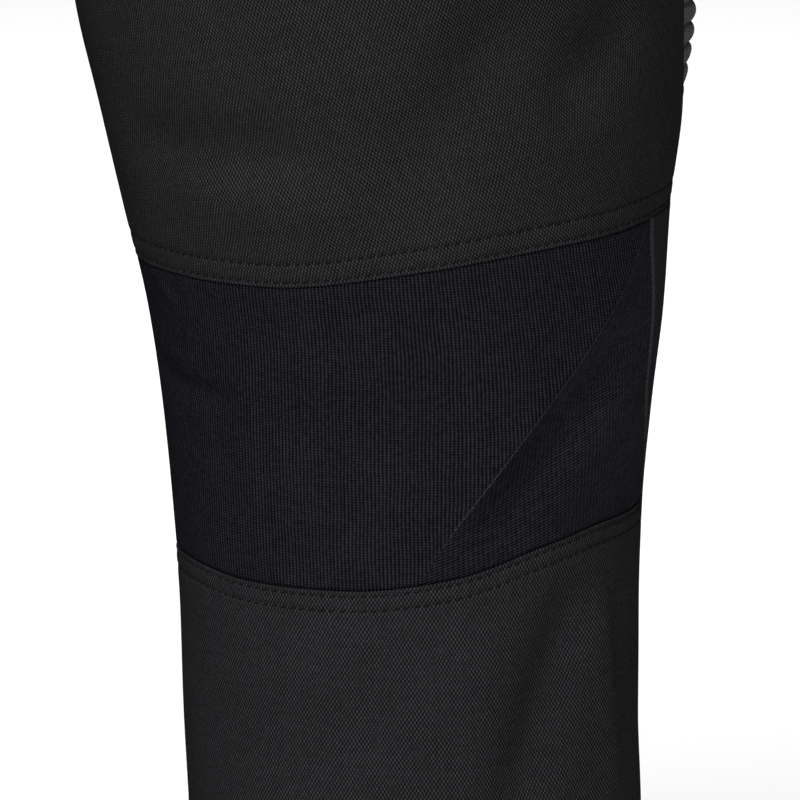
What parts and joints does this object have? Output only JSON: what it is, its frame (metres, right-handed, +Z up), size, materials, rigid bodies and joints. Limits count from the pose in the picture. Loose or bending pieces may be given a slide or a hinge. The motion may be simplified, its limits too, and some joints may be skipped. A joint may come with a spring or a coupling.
{
  "type": "motorcycle trousers",
  "caption": "Long dark textile riding trousers, hollow as worn, with ribbed stretch panels above the knees and knit stretch panels behind them.",
  "frame": {"origin": "centre of the waist opening, at the height of the waistband's front edge", "axes": "+Z up, -Y towards the wearer's front, -X towards the wearer's right"},
  "size_m": [0.4576, 0.2855, 1.0958],
  "materials": {
    "woven_shell": "matt heavy plain-weave textile",
    "stretch_knit": "matt rib-knit stretch cloth",
    "accordion_stretch": "matt ribbed stretch cloth",
    "button_metal": "dark lacquered metal"
  },
  "bodies": {
    "root": {"right_thigh_back": "woven_shell", "right_knee_back": "stretch_knit", "right_calf_back": "woven_shell", "right_thigh_front": "woven_shell", "right_knee_accordion": "accordion_stretch", "right_shin_front": "woven_shell", "left_thigh_back": "woven_shell", "left_knee_back": "stretch_knit", "left_calf_back": "woven_shell", "left_thigh_front": "woven_shell", "left_knee_accordion": "accordion_stretch", "left_shin_front": "woven_shell", "waistband": "woven_shell", "fly_flap": "woven_shell", "button": "button_metal"}
  },
  "joints": []
}
